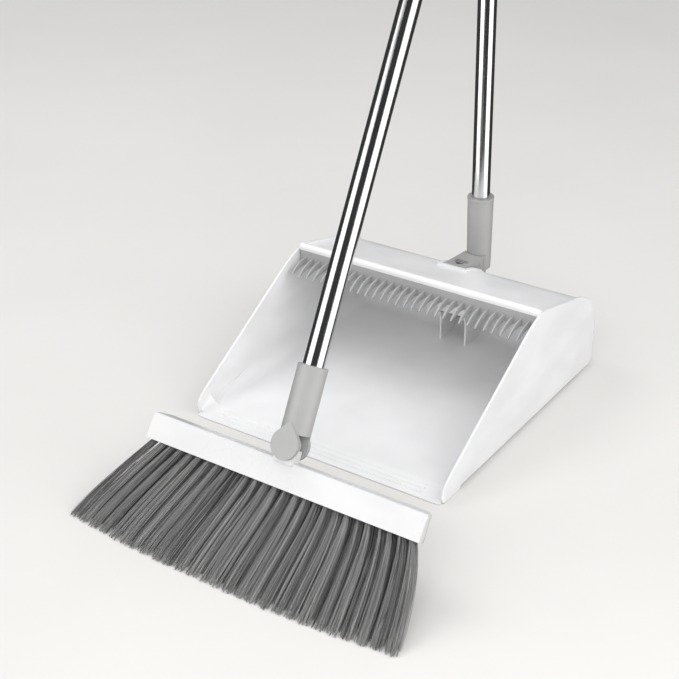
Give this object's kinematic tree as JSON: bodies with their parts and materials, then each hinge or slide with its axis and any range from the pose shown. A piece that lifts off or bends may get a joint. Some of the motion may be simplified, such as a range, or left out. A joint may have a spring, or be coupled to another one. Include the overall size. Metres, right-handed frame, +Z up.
{
  "type": "dust pan and brush set",
  "caption": "Long-handled sweeping set: deep covered dust pan with comb teeth and latching fold-back handle, and an upright broom with a swivelling head.",
  "frame": {"origin": "middle of the flat strip under the dust pan's lip, on the floor", "axes": "+X along the lip, +Y from the lip towards the back of the pan, +Z up"},
  "size_m": [0.3462, 0.5295, 0.8272],
  "materials": {
    "pan_white": "satin moulded, slightly glossy",
    "comb_grey": "matt moulded",
    "block_white": "satin moulded",
    "plate_grey": "matt moulded",
    "socket_grey": "fine moulded texture",
    "joint_grey": "matt moulded",
    "grip_grey": "soft touch",
    "cap_grey": "fine moulded texture",
    "washer_white": "plain nylon",
    "pole_steel": "polished stainless tube",
    "pin_steel": "plain turned",
    "bristle_grey": "fine polyester filaments"
  },
  "bodies": {
    "pan": {"pan_tray": "pan_white", "pan_cover": "pan_white", "comb_strip": "comb_grey", "hinge_pin": "pin_steel", "hinge_clip": "pin_steel"},
    "pan_handle": {"pan_socket": "socket_grey", "pan_socket_screw": "pin_steel", "latch_pin": "pin_steel", "latch_spring": "pin_steel", "pan_pole_lower": "pole_steel", "pan_pole_plug": "joint_grey", "pan_pole_nut": "joint_grey", "pan_pole_upper": "pole_steel", "pan_grip": "grip_grey", "pan_hang_cap": "cap_grey"},
    "latch": {"latch_pedal": "socket_grey"},
    "broom_head": {"brush_block": "block_white", "tuft_plate": "plate_grey", "bristle_row_1": "bristle_grey", "bristle_row_2": "bristle_grey", "bristle_row_3": "bristle_grey", "bristle_row_4": "bristle_grey"},
    "broom_handle": {"broom_socket": "socket_grey", "broom_socket_screw": "pin_steel", "swivel_pin": "pin_steel", "swivel_washers": "washer_white", "broom_pole_lower": "pole_steel", "broom_pole_plug": "joint_grey", "broom_pole_nut": "joint_grey", "broom_pole_upper": "pole_steel", "broom_grip": "grip_grey", "broom_hang_cap": "cap_grey"}
  },
  "joints": [
    {"name": "handle_fold", "type": "hinge", "parent": "pan", "child": "pan_handle", "pos_m": [0, 0.2925, 0.062], "axis": [-1, 0, 0], "range_deg": [0, 90]},
    {"name": "latch_press", "type": "hinge", "parent": "pan_handle", "child": "latch", "pos_m": [0, 0.286, 0.085], "axis": [1, 0, 0], "range_deg": [0, 8], "stiffness_Nm_per_rad": 0.2, "springref_deg": -8.59, "deforming": ["latch_spring"]},
    {"name": "broom_lift", "type": "slide", "parent": "pan", "child": "broom_head", "axis": [0, 0, 1], "range_m": [0, 0.25]},
    {"name": "head_swivel", "type": "hinge", "parent": "broom_head", "child": "broom_handle", "pos_m": [0.0525, -0.10684, 0.08872], "axis": [0, 0.8572, -0.515], "range_deg": [-88, 92]}
  ]
}
